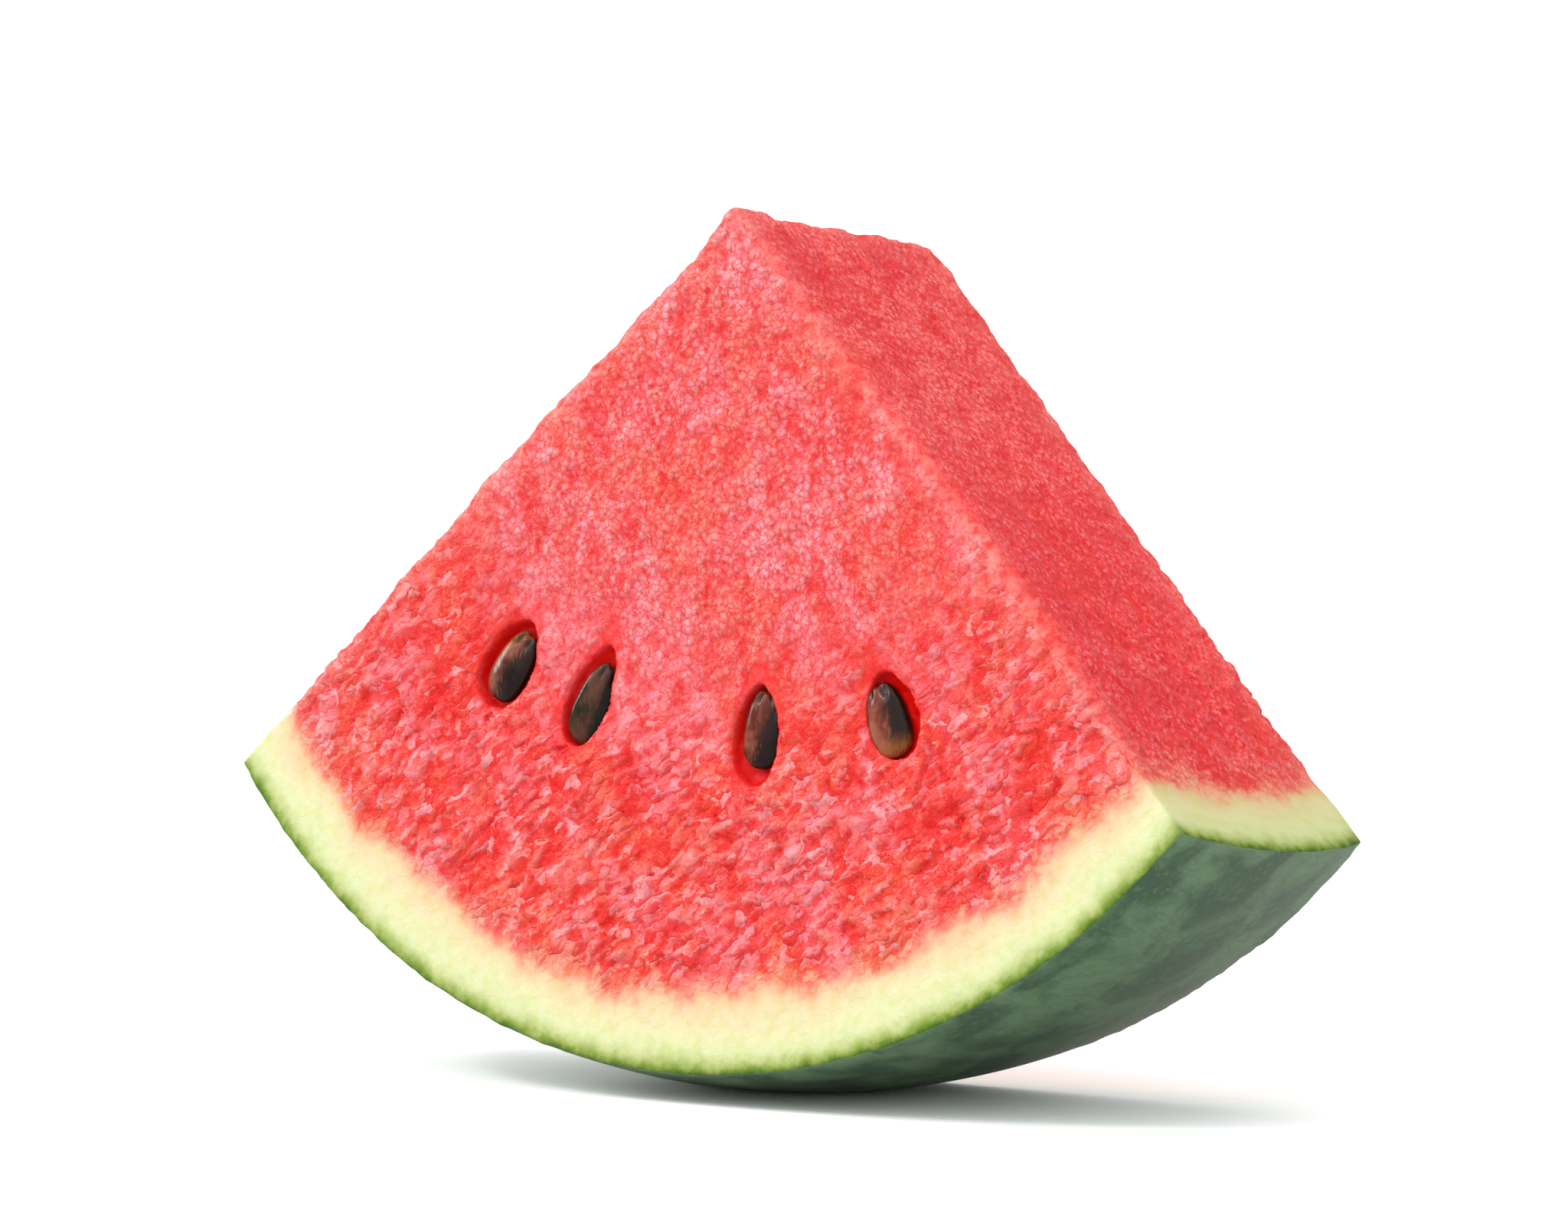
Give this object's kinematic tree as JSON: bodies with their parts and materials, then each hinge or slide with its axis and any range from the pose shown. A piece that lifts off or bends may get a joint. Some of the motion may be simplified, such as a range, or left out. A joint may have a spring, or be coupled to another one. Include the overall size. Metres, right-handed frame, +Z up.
{
  "type": "watermelon wedge",
  "caption": "Wedge from a thick round slice of seeded watermelon: red flesh with flat cuts, bare seeds in the cut faces, pale rind, and a curved dark green skin that it rests on.",
  "frame": {"origin": "on the table, at the bottom centre of the bounding box", "axes": "+Z up; -Y towards the front cut face, which is tipped 8 degrees upwards; +X along the wedge's widest extent, to the right seen from the front"},
  "size_m": [0.1536, 0.058, 0.1143],
  "materials": {
    "flesh_and_rind": "wet red melon flesh, cream to pale green rind, satin dark green skin",
    "seed_coat": "glossy dark brown seed coat"
  },
  "bodies": {
    "root": {"flesh_and_rind": "flesh_and_rind", "front_seed_1": "seed_coat", "front_seed_2": "seed_coat", "front_seed_3": "seed_coat", "front_seed_4": "seed_coat", "back_seed_1": "seed_coat", "back_seed_2": "seed_coat", "back_seed_3": "seed_coat"}
  },
  "joints": []
}
